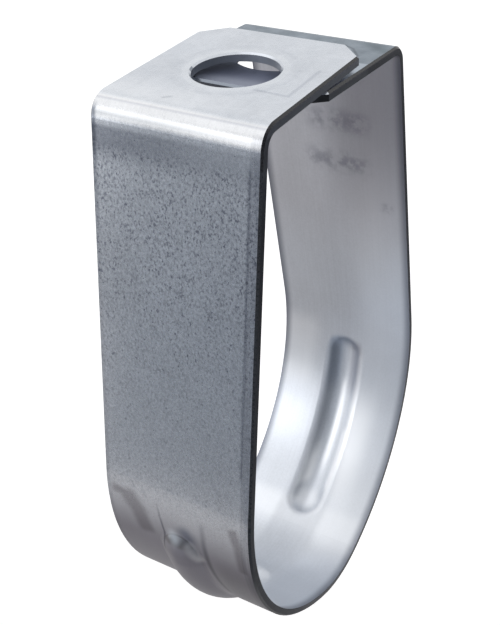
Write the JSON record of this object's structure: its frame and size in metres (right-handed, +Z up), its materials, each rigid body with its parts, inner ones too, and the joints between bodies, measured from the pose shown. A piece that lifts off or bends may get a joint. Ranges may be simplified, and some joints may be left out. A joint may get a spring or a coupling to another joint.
{
  "type": "loop pipe hanger",
  "caption": "Pear-shaped loop folded from one steel strip, with beaded sides and lapped tabs that are punched for a hanger rod.",
  "frame": {"origin": "centre of the rod hole, half way through the upper tab", "axes": "+Z up along the hanger rod, X across the strip and along the pipe, +Y from the leg of the upper tab to the leg of the lower tab"},
  "size_m": [0.0254, 0.0599, 0.0955],
  "materials": {
    "galvanised_steel": "zinc-coated sheet, satin, with fine pits and rub marks"
  },
  "bodies": {
    "root": {"loop_band": "galvanised_steel"}
  },
  "joints": []
}
